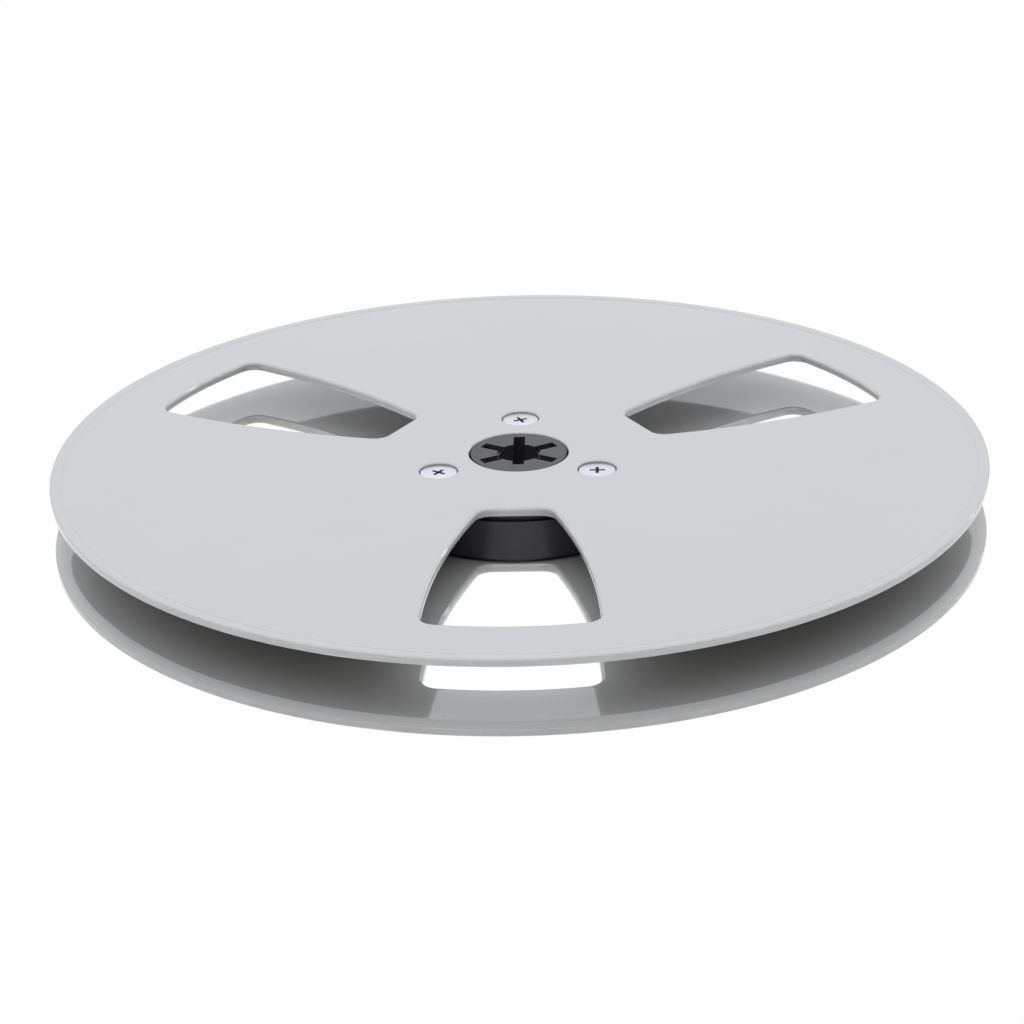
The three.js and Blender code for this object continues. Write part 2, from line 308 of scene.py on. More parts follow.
def rim_section():
    """The bead, the rounded edge and the flare, as (radius, height) from above to below."""
    foot = REEL_HEIGHT - BEAD_HEIGHT
    edge = REEL_RADIUS - RIM_ROUND
    top = REEL_HEIGHT - RIM_ROUND
    bottom = REEL_HEIGHT - RIM_PLATE + RIM_ROUND
    soft = BEAD_SOFTNESS
    rise = [(BEAD_FOOT - soft + 2 * soft * t, foot + BEAD_HEIGHT * t * t * (3 - 2 * t))
            for t in (i / 8 for i in range(9))]
    rounding = arc((edge, top), RIM_ROUND, math.pi / 2, 0, 8)
    under = arc((edge, bottom), RIM_ROUND, 0, -FLARE_MEETS_RIM, 8)
    start = (BEAD_FOOT - soft - SUPPORT, face_height(BEAD_FOOT - soft - SUPPORT))
    flare_top = under_height(BEAD_FOOT)
    flare_drop = REEL_HEIGHT - RIM_PLATE - flare_top
    flare_foot = REEL_RADIUS - FLARE_WIDTH
    flare = [(flare_foot + (edge - flare_foot) * t, flare_top + flare_drop * (0.7 + 0.3 * t) * t)
             for t in (1 - i / FLARE_STEPS for i in range(1, FLARE_STEPS + 1))]
    last = (start[0], under_height(start[0]))
    return [start, *rise, (edge - SUPPORT, REEL_HEIGHT), *rounding, *under, *flare, last]


def flange_mesh():
    """The upper flange in place, as mesh data."""
    bm = bmesh.new()
    rim = []
    for radius, height in rim_section():
        rim.append([bm.verts.new((x, y, height)) for x, y in circle(radius, RIM_STEPS)])
    flare = range(len(rim) - 2 - FLARE_STEPS, len(rim) - 2)
    for i, (first, second) in enumerate(zip(rim, rim[1:])):
        bridge(bm, first, second, 1 if i in flare else 0)

    upper, lower = [], []
    walls = [(lambda grow: circle(BOSS_HOLE + grow, BOSS_HOLE_STEPS), through_wall(BOSS_HOLE_LIP))]
    for window, screw in zip(WINDOW_ANGLES, SCREW_ANGLES):
        at = (SCREW_CIRCLE * math.cos(screw), SCREW_CIRCLE * math.sin(screw))
        walls.append((lambda grow, a=window: turned_to(window_outline(grow), a),
                      through_wall(WINDOW_LIP)))
        walls.append((lambda grow, c=at: circle(RECESS_RADIUS + grow, RECESS_STEPS, c),
                      recess_wall(RECESS_LIP)))
    for outline, section in walls:
        first, last = add_wall(bm, outline, section)
        upper.append(first)
        lower.append(last)
    fill_face(bm, rim[0], upper, 0.0)
    fill_face(bm, rim[-1], lower, -TINY)

    bmesh.ops.recalc_face_normals(bm, faces=bm.faces)
    mesh = bpy.data.meshes.new("flange")
    bm.to_mesh(mesh)
    bm.free()
    return mesh


# %% Helpers that turn a mesh into a placed piece
TURN_OVER = Matrix.Translation((0, 0, REEL_HEIGHT)) @ Matrix.Rotation(math.pi, 4, "Y")


def soften(mesh, sharp_degrees=38):
    """Smooth shading, with edges above an angle kept sharp."""
    mesh.shade_smooth()
    mesh.set_sharp_from_angle(angle=math.radians(sharp_degrees))


def place(name, mesh, node, material=None, matrix=None):
    """Makes an object from mesh data, moves its vertices into place and ties it to the frame."""
    data = mesh.copy()
    data.name = name
    if matrix is not None:
        data.transform(matrix)
    piece = bpy.data.objects.new(name, data)
    bpy.context.scene.collection.objects.link(piece)
    if material is not None:
        data.materials.clear()
        data.materials.append(material)
    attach(piece, "root")
    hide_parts(node)
    return piece


flange = flange_mesh()
soften(flange)
upper_flange = place("upper_flange_moulding", flange, "upper_flange")
lower_flange = place("lower_flange_moulding", flange, "lower_flange", matrix=TURN_OVER)
print("flange:", len(flange.polygons), "faces")

# %% [markdown]
# ## The hub
# The hub is one dark moulding: a drum that the tape winds on, a web and ribs inside it,
# three pillars for the screws and a boss with the slotted bore. Lathe shapes and boxes
# are joined and cut with exact booleans, because its parts meet at plain edges. A small
# bevel then gives every edge the fine bright line that a moulded edge has.


# %% Turned and boxed shapes
def turned(profile, steps=96):
    """A closed (radius, height) profile turned round the axis. Radius zero makes a pole."""
    bm = bmesh.new()
    loops = []
    for radius, height in profile:
        if radius < 1e-9:
            loops.append([bm.verts.new((0, 0, height))])
        else:
            loops.append([bm.verts.new((x, y, height)) for x, y in circle(radius, steps)])
    for first, second in zip(loops, loops[1:] + loops[:1]):
        if len(first) == 1 and len(second) == 1:
            continue
        for i in range(steps):
            j = (i + 1) % steps
            ring = [first[i % len(first)], first[j % len(first)],
                    second[j % len(second)], second[i % len(second)]]
            corners = list(dict.fromkeys(ring))
            bm.faces.new(corners)
    bmesh.ops.recalc_face_normals(bm, faces=bm.faces)
    return bm


def post(radius, bottom, top, steps=96, at=(0.0, 0.0)):
    """A round post or drill between two heights."""
    bm = turned([(0, bottom), (radius, bottom), (radius, top), (0, top)], steps)
    bmesh.ops.translate(bm, verts=bm.verts, vec=(*at, 0))
    return bm


def radial_bar(start, end, width, bottom, top, angle):
    """A bar along a ray from the axis, turned to an angle."""
    bm = bmesh.new()
    bmesh.ops.create_cube(bm, size=1)
    size = Matrix.Diagonal((end - start, width, top - bottom, 1))
    middle = Matrix.Translation(((start + end) / 2, 0, (bottom + top) / 2))
    bmesh.ops.transform(bm, verts=bm.verts, matrix=Matrix.Rotation(angle, 4, "Z") @ middle @ size)
    return bm


# %% Joining and cutting
def as_object(bm, name):
    """A temporary object from a bmesh."""
    mesh = bpy.data.meshes.new(name)
    bm.to_mesh(mesh)
    bm.free()
    obj = bpy.data.objects.new(name, mesh)
    bpy.context.scene.collection.objects.link(obj)
    return obj


def applied(obj):
    """The mesh of an object with its modifiers applied; the object itself is removed."""
    graph = bpy.context.evaluated_depsgraph_get()
    mesh = bpy.data.meshes.new_from_object(obj.evaluated_get(graph))
    bpy.data.objects.remove(obj)
    return mesh


def combine(target, shapes, operation):
    """Joins or cuts a list of shapes, one exact boolean after another."""
    tools = []
    for i, shape in enumerate(shapes):
        tool = as_object(shape, f"{target.name}_{operation.lower()}_{i}")
        step = target.modifiers.new(tool.name, "BOOLEAN")
        step.operation = operation
        step.solver = "EXACT"
        step.object = tool
        tools.append(tool)
    name = target.name
    mesh = applied(target)
    for tool in tools:
        bpy.data.objects.remove(tool)
    result = bpy.data.objects.new(name, mesh)
    bpy.context.scene.collection.objects.link(result)
    return result


def bevelled(obj, width, segments=2, degrees=35):
    """Rounds every edge that is sharper than an angle."""
    bevel = obj.modifiers.new("edge_round", "BEVEL")
    bevel.width = width
    bevel.segments = segments
    bevel.limit_method = "ANGLE"
    bevel.angle_limit = math.radians(degrees)
    bevel.use_clamp_overlap = True
    bevel.harden_normals = False
    return applied(obj)


# %% Build the hub
DRUM_WALL = 2.4 * MM
WEB_HALF = 1.2 * MM
RIB_WIDTH = 1.8 * MM
RIB_STEP = 1.2 * MM
PILLAR_RADIUS = 4.4 * MM
POCKET_RADIUS = 2.7 * MM
POCKET_FLOOR = MID_HEIGHT + 0.7 * MM
DRUM_FOOT = REEL_HEIGHT - HUB_SEAT
BOSS_FOOT = REEL_HEIGHT - BOSS_FACE
GROOVE_DEPTH = 0.9 * MM
GROOVE_HEIGHT = 0.95 * MM
ANCHOR_SLIT_DEPTH = 5.5 * MM
ANCHOR_SLIT_WIDTH = 1.2 * MM
ANCHOR_SLIT_ANGLE = SCREW_ANGLES[0] + math.pi / 6
HUB_EDGE = 0.12 * MM


def drum_profile():
    """The drum's outside, set back at each end so that a dark line parts it from the flange."""
    inside_radius = DRUM_RADIUS - DRUM_WALL
    return [
        (0, MID_HEIGHT - WEB_HALF), (inside_radius, MID_HEIGHT - WEB_HALF), (inside_radius, DRUM_FOOT),
        (DRUM_RADIUS - GROOVE_DEPTH, DRUM_FOOT), (DRUM_RADIUS - GROOVE_DEPTH, DRUM_FOOT + GROOVE_HEIGHT),
        (DRUM_RADIUS, DRUM_FOOT + GROOVE_HEIGHT), (DRUM_RADIUS, HUB_SEAT - GROOVE_HEIGHT),
        (DRUM_RADIUS - GROOVE_DEPTH, HUB_SEAT - GROOVE_HEIGHT), (DRUM_RADIUS - GROOVE_DEPTH, HUB_SEAT),
        (inside_radius, HUB_SEAT), (inside_radius, MID_HEIGHT + WEB_HALF), (0, MID_HEIGHT + WEB_HALF),
    ]


def hub_mesh():
    """The whole hub as one mesh."""
    inside_radius = DRUM_RADIUS - DRUM_WALL
    joins = [post(BOSS_RADIUS, BOSS_FOOT, BOSS_FACE, 128)]
    cuts = []
    for i in range(6):
        joins.append(radial_bar(BOSS_RADIUS - MM, inside_radius + MM, RIB_WIDTH, DRUM_FOOT + RIB_STEP,
                                HUB_SEAT - RIB_STEP, SCREW_ANGLES[0] + i * math.pi / 3))
    for angle in SCREW_ANGLES:
        at = (SCREW_CIRCLE * math.cos(angle), SCREW_CIRCLE * math.sin(angle))
        joins.append(post(PILLAR_RADIUS, DRUM_FOOT, HUB_SEAT, 48, at))
        cuts.append(post(PASSAGE_RADIUS, DRUM_FOOT - MM, HUB_SEAT + MM, 32, at))
        cuts.append(post(POCKET_RADIUS, POCKET_FLOOR, HUB_SEAT + MM, 32, at))
        cuts.append(post(POCKET_RADIUS, DRUM_FOOT - MM, REEL_HEIGHT - POCKET_FLOOR, 32, at))

    low, high = BOSS_FOOT - MM, BOSS_FACE + MM
    mouths = [(BOSS_FACE - REST_DEPTH, high), (low, BOSS_FOOT + REST_DEPTH)]
    cuts.append(post(BORE_RADIUS, low, high, 96))
    for angle in SCREW_ANGLES:
        cuts.append(radial_bar(0, SLOT_REACH, SLOT_WIDTH, low, high, angle))
    for bottom, top in mouths:
        cuts.append(post(BORE_MOUTH, bottom, top, 96))
        for angle in WINDOW_ANGLES:
            cuts.append(radial_bar(0, SLOT_REACH, SLOT_WIDTH, bottom, top, angle))
    cuts.append(radial_bar(DRUM_RADIUS - ANCHOR_SLIT_DEPTH, DRUM_RADIUS + MM, ANCHOR_SLIT_WIDTH,
                           DRUM_FOOT - MM, HUB_SEAT + MM, ANCHOR_SLIT_ANGLE))

    body = as_object(turned(drum_profile(), 180), "hub_body")
    body = combine(body, joins, "UNION")
    body = combine(body, cuts, "DIFFERENCE")
    return bevelled(body, HUB_EDGE)


hub_data = hub_mesh()
soften(hub_data, 30)
hub = place("hub_moulding", hub_data, "hub")
print("hub:", len(hub_data.polygons), "faces")

# %% [markdown]
# ## The screws and the inserts
# Each screw has a low flat head with a driver cross and a short threaded shank. A thread
# could be a swept spiral, but a grid of rings whose radius depends on height and angle
# gives one closed surface with the same look. The insert's knurl is made in the same way.


# %% A turned grid whose radius varies
def turned_grid(heights, radius_at, steps):
    """A closed skin with flat ends; radius_at(height, angle) shapes it."""
    bm = bmesh.new()
    loops = []
    for height in heights:
        loop = []
        for i in range(steps):
            angle = 2 * math.pi * i / steps
            radius = radius_at(height, angle)
            loop.append(bm.verts.new((radius * math.cos(angle), radius * math.sin(angle), height)))
        loops.append(loop)
    for first, second in zip(loops, loops[1:]):
        bridge(bm, first, second)
    return bm, loops


def spaced(start, end, step):
    """Even heights from start to end, close to a step apart."""
    count = max(1, round((end - start) / step))
    return [start + (end - start) * i / count for i in range(count + 1)]


# %% The screw
HEAD_EDGE = 0.12 * MM
THREAD_PITCH = 0.5 * MM
THREAD_DEPTH = 0.26 * MM
CROSS_LENGTH = 3.4 * MM
CROSS_WIDTH = 0.7 * MM
CROSS_DEPTH = 0.55 * MM
CROSS_TURNS = [math.radians(angle) for angle in (25, -35, 0)]


def thread_radius(height, angle):
    """A ridge that climbs one pitch a turn and fades out at the tip."""
    wave = (height / THREAD_PITCH - angle / (2 * math.pi)) % 1
    ridge = abs(2 * wave - 1)
    fade = min(1, (height - SCREW_TIP) / (0.4 * MM))
    return SHANK_RADIUS - 0.02 * MM - THREAD_DEPTH * (1 - ridge) - 0.35 * MM * (1 - fade)


def cross_cutter(turn):
    """A driver cross: two tapered bars that narrow towards the bottom."""
    bars = []
    for quarter_turn in (0, math.pi / 2):
        bm = bmesh.new()
        bmesh.ops.create_cube(bm, size=1)
        for v in bm.verts:
            narrow = 1 if v.co.z > 0 else 0.55
            v.co.x *= CROSS_LENGTH * (1 if v.co.z > 0 else 0.45)
            v.co.y *= CROSS_WIDTH * narrow
            v.co.z = HEAD_FACE + (0.2 * MM if v.co.z > 0 else -CROSS_DEPTH)
        bmesh.ops.rotate(bm, verts=bm.verts, matrix=Matrix.Rotation(turn + quarter_turn, 3, "Z"))
        bars.append(bm)
    return bars


def screw_mesh(turn):
    """One upper screw on the axis."""
    corner = (HEAD_RADIUS - HEAD_EDGE, HEAD_FACE - HEAD_EDGE)
    rounded = arc(corner, HEAD_EDGE, 0, math.pi / 2, 5)
    shank, loops = turned_grid(spaced(SCREW_TIP, HEAD_SEAT, THREAD_PITCH / 8), thread_radius, 48)
    shank.faces.new(loops[0][::-1])
    profile = [(HEAD_RADIUS - 0.1 * MM, HEAD_SEAT), (HEAD_RADIUS, HEAD_SEAT + 0.1 * MM), *rounded]
    last = loops[-1]
    for radius, height in profile:
        ring = [shank.verts.new((x, y, height)) for x, y in circle(radius, 48)]
        bridge(shank, last, ring)
        last = ring
    shank.faces.new(last)
    bmesh.ops.recalc_face_normals(shank, faces=shank.faces)
    body = as_object(shank, "screw_body")
    mesh = applied(combine(body, cross_cutter(turn), "DIFFERENCE"))
    # Faces inside the driver cross take the second finish, which paints them near-black as shade.
    for face in mesh.polygons:
        depth = HEAD_FACE - face.center.z
        in_cross = face.center.xy.length < 2 * MM and 0.005 * MM < depth < CROSS_DEPTH + 0.01 * MM
        face.material_index = 1 if in_cross else 0
    return mesh


# %% The insert
INSERT_TOP = HUB_SEAT - 0.3 * MM
INSERT_FOOT = MID_HEIGHT + 0.8 * MM
INSERT_RADIUS = 2.6 * MM
KNURLS = 30
KNURL_DEPTH = 0.16 * MM
KNURL_LEAN = 1.2 * MM
BAND_START = 0.4 * MM
BAND_END = 1.55 * MM
GROOVE_BETWEEN_BANDS = 0.22 * MM


def insert_mesh():
    """A brass sleeve with a knurled band at each end and a plain groove between."""
    bore = SHANK_RADIUS + 0.1 * MM
    middle = (INSERT_FOOT + INSERT_TOP) / 2

    def knurled(height, angle):
        """Diamonds where two slanting sets of grooves cross."""
        band = abs(height - middle)
        if band < BAND_START or band > BAND_END:
            return INSERT_RADIUS - GROOVE_BETWEEN_BANDS
        lean = (height - middle) / KNURL_LEAN
        one = abs(math.sin(KNURLS * angle / 2 + lean * math.pi))
        two = abs(math.sin(KNURLS * angle / 2 - lean * math.pi))
        return INSERT_RADIUS - KNURL_DEPTH * (1 - min(one, two))

    bm, loops = turned_grid(spaced(INSERT_FOOT, INSERT_TOP, 0.12 * MM), knurled, 6 * KNURLS)
    inner = []
    for height in (INSERT_TOP, INSERT_FOOT):
        inner.append([bm.verts.new((x, y, height)) for x, y in circle(bore, 6 * KNURLS)])
    bridge(bm, loops[-1], inner[0])
    bridge(bm, inner[0], inner[1])
    bridge(bm, inner[1], loops[0])
    bmesh.ops.recalc_face_normals(bm, faces=bm.faces)
    mesh = bpy.data.meshes.new("insert")
    bm.to_mesh(mesh)
    bm.free()
    return mesh


# %% Place three screws and three inserts on each side
fasteners = []
insert_data = insert_mesh()
soften(insert_data, 25)
for i, angle in enumerate(SCREW_ANGLES, start=1):
    screw_data = screw_mesh(CROSS_TURNS[i - 1])
    soften(screw_data, 30)
    out = Matrix.Translation((SCREW_CIRCLE * math.cos(angle), SCREW_CIRCLE * math.sin(angle), 0))
    for side, turn in (("upper", Matrix.Identity(4)), ("lower", TURN_OVER)):
        for kind, mesh, slot in (("screw", screw_data, "zinc_steel"), ("insert", insert_data, "brass")):
            node = f"{side}_{kind}_{i}"
            fasteners.append(place(f"{node}_turned", mesh, node, matrix=turn @ out))
print("fasteners:", len(fasteners))

# %% [markdown]
# ## Effects that the materials share
# Moulded plastic is never perfectly even. Its skin has a fine texture, its gloss drifts,
# handling rubs its edges brighter and a little dust settles on top. Each effect is a node
# group that puts out a plain mask or height. Every material then uses it with its own
# values, so that the pieces look as if they have lived together.


# %% A small helper for node trees
def node(tree, kind, label, at, inputs=None, **settings):
    """Adds a node, names it and sets its values."""
    made = tree.nodes.new(kind)
    made.label = label
    made.location = at
    for name, value in settings.items():
        setattr(made, name, value)
    for key, value in (inputs or {}).items():
        made.inputs[key].default_value = value
    return made


def new_group(name, inputs, outputs):
    """An empty shader group with named float inputs and outputs."""
    tree = bpy.data.node_groups.new(name, "ShaderNodeTree")
    for label, default in inputs.items():
        socket = tree.interface.new_socket(label, in_out="INPUT", socket_type="NodeSocketFloat")
        socket.default_value = default
    for label in outputs:
        tree.interface.new_socket(label, in_out="OUTPUT", socket_type="NodeSocketFloat")
    start = node(tree, "NodeGroupInput", "values", (-900, 0))
    end = node(tree, "NodeGroupOutput", "result", (700, 0))
    return tree, start, end


def noise(tree, at, scale, detail=3.0, roughness=0.5):
    """Noise in object space, so that it keeps its real size."""
    place_at = node(tree, "ShaderNodeTexCoord", "object space", (at[0] - 220, at[1]))
    made = node(tree, "ShaderNodeTexNoise", "noise", at, {"Detail": detail, "Roughness": roughness})
    tree.links.new(place_at.outputs["Object"], made.inputs["Vector"])
    if scale is not None:
        made.inputs["Scale"].default_value = scale
    return made


def spread(tree, value, low, high, at):
    """Stretches a value from one range to 0..1."""
    made = node(tree, "ShaderNodeMapRange", "spread", at, {"From Min": low, "From Max": high})
    tree.links.new(value, made.inputs["Value"])
    return made.outputs["Result"]


def maths(tree, operation, first, second, at):
    """A math node; either side may be a socket or a number."""
    made = node(tree, "ShaderNodeMath", operation.lower(), at, operation=operation)
    for i, side in enumerate((first, second)):
        if isinstance(side, (int, float)):
            made.inputs[i].default_value = side
        else:
            tree.links.new(side, made.inputs[i])
    return made.outputs[0]


# %% Skin: fine texture and slow drift
def build_skin():
    """Height of a moulded or plated skin, and a mask of slow cloudy drift."""
    tree, start, end = new_group("surface_skin", {"Grain per metre": 2500.0}, ["Height", "Drift"])
    grain = noise(tree, (-500, 160), None, 4.0, 0.6)
    tree.links.new(start.outputs["Grain per metre"], grain.inputs["Scale"])
    wave = noise(tree, (-500, -80), 90.0, 2.0)
    cloud = noise(tree, (-500, -320), 24.0, 4.0, 0.62)
    fine = maths(tree, "MULTIPLY", grain.outputs["Fac"], 0.25, (-200, 160))
    height = maths(tree, "ADD", fine, wave.outputs["Fac"], (40, 60))
    tree.links.new(height, end.inputs["Height"])
    tree.links.new(spread(tree, cloud.outputs["Fac"], 0.32, 0.68, (-200, -320)), end.inputs["Drift"])
    return tree


# %% Rubbed edges
def build_rubbed_edges():
    """A mask of convex edges off the flat faces, broken up so that the wear looks handled."""
    tree, start, end = new_group("rubbed_edges", {"Reach": 0.5}, ["Mask"])
    facing = node(tree, "ShaderNodeSeparateXYZ", "facing", (-700, 340))
    spot = node(tree, "ShaderNodeTexCoord", "object space", (-900, 340))
    tree.links.new(spot.outputs["Normal"], facing.inputs["Vector"])
    level = maths(tree, "ABSOLUTE", facing.outputs["Z"], 0.0, (-500, 340))
    tilted = spread(tree, level, 0.93, 0.80, (-300, 340))
    shape = node(tree, "ShaderNodeNewGeometry", "shape", (-700, 120))
    broken = noise(tree, (-500, -120), 320.0, 5.0, 0.65)
    rise = maths(tree, "SUBTRACT", shape.outputs["Pointiness"], 0.5, (-460, 120))
    sharp = maths(tree, "MULTIPLY", rise, 14.0, (-260, 120))
    patchy = maths(tree, "MULTIPLY", sharp, broken.outputs["Fac"], (-60, 60))
    off_flat = maths(tree, "MULTIPLY", patchy, tilted, (40, 200))
    reach = maths(tree, "MULTIPLY", off_flat, start.outputs["Reach"], (140, 40))
    limit = node(tree, "ShaderNodeClamp", "limit", (340, 40))
    tree.links.new(reach, limit.inputs["Value"])
    tree.links.new(limit.outputs["Result"], end.inputs["Mask"])
    return tree


# %% Settled dust
def build_dust():
    """A mask of specks and film on faces that look up."""
    tree, start, end = new_group("settled_dust", {"Amount": 0.2}, ["Mask"])
    shape = node(tree, "ShaderNodeNewGeometry", "shape", (-700, 160))
    facing = node(tree, "ShaderNodeSeparateXYZ", "facing", (-500, 160))
    tree.links.new(shape.outputs["Normal"], facing.inputs["Vector"])
    up = spread(tree, facing.outputs["Z"], 0.6, 1.0, (-300, 160))
    specks = noise(tree, (-500, -80), 900.0, 2.0, 0.4)
    dots = spread(tree, specks.outputs["Fac"], 0.66, 0.74, (-300, -80))
    film = noise(tree, (-500, -320), 38.0, 5.0, 0.6)
    haze = spread(tree, film.outputs["Fac"], 0.42, 0.8, (-300, -320))
    both = maths(tree, "ADD", dots, haze, (-80, -180))
    on_top = maths(tree, "MULTIPLY", both, up, (120, 0))
    tree.links.new(maths(tree, "MULTIPLY", on_top, start.outputs["Amount"], (320, 0)), end.inputs["Mask"])
    return tree


# %% Fine round marks
def build_round_marks():
    """Rings round the reel's own axis, as left by turning or by wiping."""
    tree, start, end = new_group("round_marks", {"Rings per metre": 3000.0}, ["Lines"])
    spot = node(tree, "ShaderNodeTexCoord", "object space", (-900, 120))
    split = node(tree, "ShaderNodeSeparateXYZ", "split", (-700, 120))
    tree.links.new(spot.outputs["Object"], split.inputs["Vector"])
    flat = node(tree, "ShaderNodeCombineXYZ", "flat", (-520, 120))
    tree.links.new(split.outputs["X"], flat.inputs["X"])
    tree.links.new(split.outputs["Y"], flat.inputs["Y"])
    radius = node(tree, "ShaderNodeVectorMath", "radius", (-340, 120), operation="LENGTH")
    tree.links.new(flat.outputs["Vector"], radius.inputs[0])
    scaled = maths(tree, "MULTIPLY", radius.outputs["Value"], start.outputs["Rings per metre"], (-140, 120))
    lines = node(tree, "ShaderNodeTexNoise", "lines", (60, 120),
                 {"Scale": 1.0, "Detail": 4.0, "Roughness": 0.7}, noise_dimensions="1D")
    tree.links.new(scaled, lines.inputs["W"])
    tree.links.new(lines.outputs["Fac"], end.inputs["Lines"])
    return tree


SKIN = build_skin()
RUBBED = build_rubbed_edges()
DUST = build_dust()
MARKS = build_round_marks()
print("shared effects:", [g.name for g in (SKIN, RUBBED, DUST, MARKS)])

# %% [markdown]
# ## The finishes
# All of them start from the Principled shader. The base colour is mixed from the finish's
# own colour, a slightly different one where the surface drifts, a brighter one on rubbed
# edges and a pale one for dust. The same masks move the roughness, and the skin's height
# goes through a bump node, so that reflections break up as they do on a real surface.
# The flare was left matt by the mould, and its colour is painted lighter than the
# flange's, as painted light. The driver crosses are painted near-black, as painted shade.
# Each of these could be a mask on its neighbour's finish, but a finish of its own is plainer.


# %% One recipe for every finish
def effect(tree, group, at, **values):
    """Places a shared effect in a material with its own values."""
    made = node(tree, "ShaderNodeGroup", group.name, at, node_tree=group)
    for label, value in values.items():
        made.inputs[label.replace("_", " ")].default_value = value
    return made


def blend_colour(tree, mask, under, over, at):
    """Mixes a colour over another one where the mask is high."""
    made = node(tree, "ShaderNodeMix", "colour", at, data_type="RGBA")
    tree.links.new(mask, made.inputs[0])
    for socket, value in ((made.inputs[6], under), (made.inputs[7], over)):
        if isinstance(value, tuple):
            socket.default_value = (*value, 1.0)
        else:
            tree.links.new(value, socket)
    return made.outputs[2]


def finish(name, colour, drift_colour, edge_colour, gloss, gloss_range, metal=0.0, grain=2500.0,
           bump=0.1, bump_size=0.02 * MM, wear=0.5, dust=0.1, rings=3000.0, ring_share=0.3, ior=1.5):
    """A finished material from a colour set and a few amounts."""
    material = bpy.data.materials.new(name)
    material.use_nodes = True
    tree = material.node_tree
    tree.nodes.clear()
    shader = node(tree, "ShaderNodeBsdfPrincipled", name, (600, 0), {"Metallic": metal, "IOR": ior})
    result = node(tree, "ShaderNodeOutputMaterial", "surface", (900, 0))
    tree.links.new(shader.outputs["BSDF"], result.inputs["Surface"])

    skin = effect(tree, SKIN, (-900, 200), Grain_per_metre=grain)
    rubbed = effect(tree, RUBBED, (-900, 0), Reach=wear)
    settled = effect(tree, DUST, (-900, -200), Amount=dust)
    marks = effect(tree, MARKS, (-900, -400), Rings_per_metre=rings)

    base = blend_colour(tree, skin.outputs["Drift"], colour, drift_colour, (-500, 300))
    worn = blend_colour(tree, rubbed.outputs["Mask"], base, edge_colour, (-260, 300))
    dusty = blend_colour(tree, settled.outputs["Mask"], worn, (0.62, 0.61, 0.59), (-20, 300))
    tree.links.new(dusty, shader.inputs["Base Color"])

    streaks = maths(tree, "MULTIPLY", marks.outputs["Lines"], ring_share, (-600, -300))
    uneven = maths(tree, "ADD", skin.outputs["Drift"], streaks, (-420, -200))
    rough = node(tree, "ShaderNodeMapRange", "roughness", (-220, -160),
                 {"From Max": 1.0 + ring_share, "To Min": gloss, "To Max": gloss + gloss_range})
    tree.links.new(uneven, rough.inputs["Value"])
    dulled = maths(tree, "ADD", rough.outputs["Result"], settled.outputs["Mask"], (0, -160))
    tree.links.new(dulled, shader.inputs["Roughness"])

    lined = maths(tree, "MULTIPLY", marks.outputs["Lines"], ring_share, (-400, -500))
    height = maths(tree, "ADD", skin.outputs["Height"], lined, (-200, -500))
    relief = node(tree, "ShaderNodeBump", "relief", (200, -400), {"Strength": bump, "Distance": bump_size})
    tree.links.new(height, relief.inputs["Height"])
    tree.links.new(relief.outputs["Normal"], shader.inputs["Normal"])
    return material


# %% The finishes of this reel
flange_finish = finish(
    "glossy_grey_moulding", (0.345, 0.343, 0.332), (0.338, 0.337, 0.327), (0.66, 0.66, 0.645),
    gloss=0.03, gloss_range=0.03, bump=0.03, wear=2.6, dust=0.03, ior=1.62, rings=1400.0, ring_share=0.2,
)
# The flare is the same plastic as the flange. Its lighter colour is painted light; its matt gloss is real.
flare_finish = finish(
    "matt_grey_flare", (0.47, 0.468, 0.455), (0.455, 0.453, 0.44), (0.66, 0.66, 0.645),
    gloss=0.38, gloss_range=0.10, bump=0.06, wear=1.0, dust=0.03, ior=1.5, rings=1400.0, ring_share=0.2,
)
hub_finish = finish(
    "near_black_moulding", (0.0048, 0.0040, 0.0052), (0.0064, 0.0053, 0.0068), (0.03, 0.028, 0.032),
    gloss=0.16, gloss_range=0.08, ior=1.33, bump=0.12, grain=5200.0, wear=0.5, dust=0.012,
    rings=5200.0, ring_share=0.5,
)
zinc_finish = finish(
    "bright_zinc_plate", (0.48, 0.48, 0.50), (0.44, 0.44, 0.47), (0.62, 0.62, 0.64),
    gloss=0.22, gloss_range=0.14, metal=1.0, bump=0.15, grain=6000.0, wear=0.8, dust=0.04,
    rings=9000.0, ring_share=0.6,
)
brass_finish = finish(
    "turned_brass", (0.74, 0.53, 0.22), (0.62, 0.42, 0.16), (0.90, 0.74, 0.42),
    gloss=0.24, gloss_range=0.16, metal=1.0, bump=0.2, grain=6000.0, wear=0.8, dust=0.02,
    rings=9000.0, ring_share=0.8,
)
# Painted shade: the faces inside each driver cross are near-black, as the recess lies in shade.
cross_shade_finish = finish(
    "grime_in_the_cross", (0.012, 0.011, 0.012), (0.020, 0.018, 0.018), (0.30, 0.30, 0.33),
    gloss=0.55, gloss_range=0.25, bump=0.4, grain=9000.0, wear=0.2, dust=0.03, rings=9000.0,
)


def dress(piece, *materials):
    """Gives a piece its finishes and keeps which face wears which."""
    worn = [face.material_index for face in piece.data.polygons]
    piece.data.materials.clear()
    for material in materials:
        piece.data.materials.append(material)
    piece.data.polygons.foreach_set("material_index", [min(i, len(materials) - 1) for i in worn])


dress(upper_flange, flange_finish, flare_finish)
dress(lower_flange, flange_finish, flare_finish)
dress(hub, hub_finish)
for piece in fasteners:
    if "screw" in piece.name:
        dress(piece, zinc_finish, cross_shade_finish)
    else:
        dress(piece, brass_finish)
finishes = (flange_finish, flare_finish, hub_finish, zinc_finish, cross_shade_finish, brass_finish)
print("finishes:", [material.name for material in finishes])

